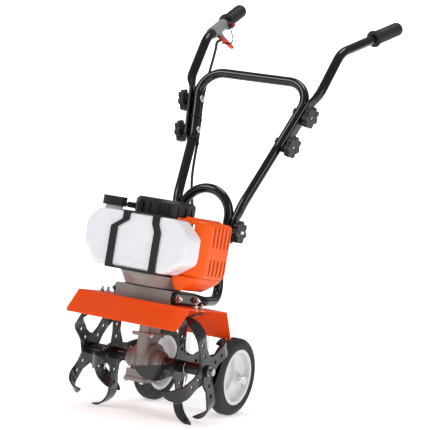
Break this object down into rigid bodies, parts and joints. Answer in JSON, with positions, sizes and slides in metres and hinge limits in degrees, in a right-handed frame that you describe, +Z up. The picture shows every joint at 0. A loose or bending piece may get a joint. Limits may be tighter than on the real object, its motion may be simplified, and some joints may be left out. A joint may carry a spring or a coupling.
{
  "type": "mini cultivator",
  "caption": "Walk-behind mini cultivator with petrol engine, worm gearbox, curved tines, fender, transport wheels and folding tubular handles.",
  "frame": {"origin": "on the floor under the middle of the machine's box, parked on wheels and tines", "axes": "+Z up, -Y towards the fuel tank, +Y towards the handles, +X to the engine shroud side"},
  "size_m": [0.461, 0.7738, 0.9431],
  "materials": {
    "cast_alloy": "cast, matt",
    "zinc_steel": "zinc plated",
    "machined_steel": "machined",
    "bronze": "machined",
    "piston_alloy": "machined",
    "black_paint": "satin paint",
    "gloss_black_tube": "gloss paint",
    "orange_sheet": "gloss paint",
    "orange_plastic": "satin moulded",
    "trigger_plastic": "moulded",
    "red_plastic": "moulded",
    "black_plastic": "fine grain",
    "grey_plastic": "fine grain",
    "tank_plastic": "translucent, smooth",
    "white_plastic": "moulded",
    "tyre_rubber": "matt",
    "grip_rubber": "ribbed, matt",
    "gasket": "matt",
    "porcelain": "glazed"
  },
  "bodies": {
    "base": {"gear_case_left": "cast_alloy", "gear_case_right": "cast_alloy", "gear_case_cover": "cast_alloy", "gear_case_bolts": "zinc_steel", "tine_bearings": "machined_steel", "clutch_housing": "cast_alloy", "clutch_gasket": "gasket", "crankcase": "cast_alloy", "connecting_rod": "machined_steel", "piston": "piston_alloy", "cylinder": "cast_alloy", "spark_plug": "porcelain", "muffler": "machined_steel", "engine_shroud": "orange_plastic", "starter_housing": "black_plastic", "carburettor": "cast_alloy", "air_filter_cover": "black_plastic", "fuel_tank": "tank_plastic", "tank_frame": "black_plastic", "fender": "orange_sheet", "fender_bolts": "zinc_steel", "wheel_bracket": "zinc_steel", "wheel_axle": "zinc_steel", "base_loop": "gloss_black_tube", "base_bolts": "zinc_steel", "throttle_cable_lower": "grip_rubber"},
    "tine_drive": {"tine_shaft": "machined_steel", "worm_wheel": "bronze", "tine_hubs": "black_paint", "tines_left": "black_paint", "tines_right": "black_paint", "hitch_pins": "zinc_steel"},
    "worm_drive": {"worm_shaft": "machined_steel", "clutch_drum": "machined_steel"},
    "crank": {"crankshaft": "machined_steel", "flywheel": "piston_alloy"},
    "pulley": {"starter_pulley": "black_plastic"},
    "starter_handle": {"starter_grip": "black_plastic"},
    "cap": {"fuel_cap": "black_plastic"},
    "wheel_left": {"rim_left": "white_plastic", "tyre_left": "tyre_rubber"},
    "wheel_right": {"rim_right": "white_plastic", "tyre_right": "tyre_rubber"},
    "handle_frame": {"middle_frame": "gloss_black_tube", "handle_bolts": "zinc_steel", "handlebar_left": "gloss_black_tube", "handlebar_right": "gloss_black_tube", "grips": "grip_rubber", "throttle_housing": "grey_plastic", "stop_switch": "black_plastic", "throttle_cable_upper": "grip_rubber", "stop_wire": "grip_rubber"},
    "trigger": {"throttle_trigger": "trigger_plastic"},
    "button": {"stop_button": "red_plastic"},
    "pivot_knob_left": {"pivot_knob_left": "black_plastic"},
    "lower_knob_left": {"lower_knob_left": "black_plastic"},
    "upper_knob_left": {"upper_knob_left": "black_plastic"},
    "pivot_knob_right": {"pivot_knob_right": "black_plastic"},
    "lower_knob_right": {"lower_knob_right": "black_plastic"},
    "upper_knob_right": {"upper_knob_right": "black_plastic"}
  },
  "joints": [
    {"name": "tine_spin", "type": "hinge", "parent": "base", "child": "tine_drive", "pos_m": [0, -0.24654, 0.124], "axis": [1, 0, 0], "continuous": true},
    {"name": "worm_spin", "type": "hinge", "parent": "base", "child": "worm_drive", "pos_m": [0, -0.27317, 0.16916], "axis": [0, 0.0761, 0.9971], "continuous": true},
    {"name": "crank_spin", "type": "hinge", "parent": "base", "child": "crank", "pos_m": [0, -0.25795, 0.36858], "axis": [0, 0.0761, 0.9971], "continuous": true},
    {"name": "pulley_turn", "type": "hinge", "parent": "base", "child": "pulley", "pos_m": [0, -0.25125, 0.45632], "axis": [0, 0.0761, 0.9971], "range_deg": [0, 1200]},
    {"name": "starter_pull", "type": "slide", "parent": "base", "child": "starter_handle", "axis": [-1, 0, 0], "range_m": [0, 0.545]},
    {"name": "cap_turn", "type": "hinge", "parent": "base", "child": "cap", "pos_m": [-0.086, -0.32488, 0.46395], "axis": [0, 0.0761, 0.9971], "range_deg": [0, 540]},
    {"name": "wheel_left_spin", "type": "hinge", "parent": "base", "child": "wheel_left", "pos_m": [-0.098, -0.02456, 0.089], "axis": [1, 0, 0], "continuous": true},
    {"name": "wheel_right_spin", "type": "hinge", "parent": "base", "child": "wheel_right", "pos_m": [0.098, -0.02456, 0.089], "axis": [1, 0, 0], "continuous": true},
    {"name": "frame_fold", "type": "hinge", "parent": "base", "child": "handle_frame", "pos_m": [0, -0.06846, 0.4203], "axis": [1, 0, 0], "range_deg": [-80, 0]},
    {"name": "pivot_knob_left_turn", "type": "hinge", "parent": "base", "child": "pivot_knob_left", "pos_m": [-0.095, -0.06846, 0.4203], "axis": [-1, 0, 0], "range_deg": [0, 720]},
    {"name": "lower_knob_left_turn", "type": "hinge", "parent": "handle_frame", "child": "lower_knob_left", "pos_m": [-0.14631, 0.03586, 0.62374], "axis": [-0.9717, -0.0992, -0.2144], "range_deg": [0, 720]},
    {"name": "upper_knob_left_turn", "type": "hinge", "parent": "handle_frame", "child": "upper_knob_left", "pos_m": [-0.16551, 0.06905, 0.69542], "axis": [-0.9717, -0.0992, -0.2144], "range_deg": [0, 720]},
    {"name": "pivot_knob_right_turn", "type": "hinge", "parent": "base", "child": "pivot_knob_right", "pos_m": [0.095, -0.06846, 0.4203], "axis": [1, 0, 0], "range_deg": [0, 720]},
    {"name": "lower_knob_right_turn", "type": "hinge", "parent": "handle_frame", "child": "lower_knob_right", "pos_m": [0.14631, 0.03586, 0.62374], "axis": [0.9717, -0.0992, -0.2144], "range_deg": [0, 720]},
    {"name": "upper_knob_right_turn", "type": "hinge", "parent": "handle_frame", "child": "upper_knob_right", "pos_m": [0.16551, 0.06905, 0.69542], "axis": [0.9717, -0.0992, -0.2144], "range_deg": [0, 720]},
    {"name": "trigger_squeeze", "type": "hinge", "parent": "handle_frame", "child": "trigger", "pos_m": [-0.17185, 0.22442, 0.85344], "axis": [-0.7588, 0.0998, -0.6437], "range_deg": [-22, 0], "stiffness_Nm_per_rad": 0.5, "springref_deg": 17.19},
    {"name": "button_press", "type": "slide", "parent": "handle_frame", "child": "button", "axis": [0.9878, 0.1469, 0.0517], "range_m": [-0.003, 0], "stiffness_N_per_m": 400, "springref_m": 0.002}
  ],
  "couplings": [
    {"joint": "worm_spin", "follows": "tine_spin", "ratio": 30},
    {"joint": "starter_pull", "follows": "pulley_turn", "m_per_rad": 0.026}
  ]
}
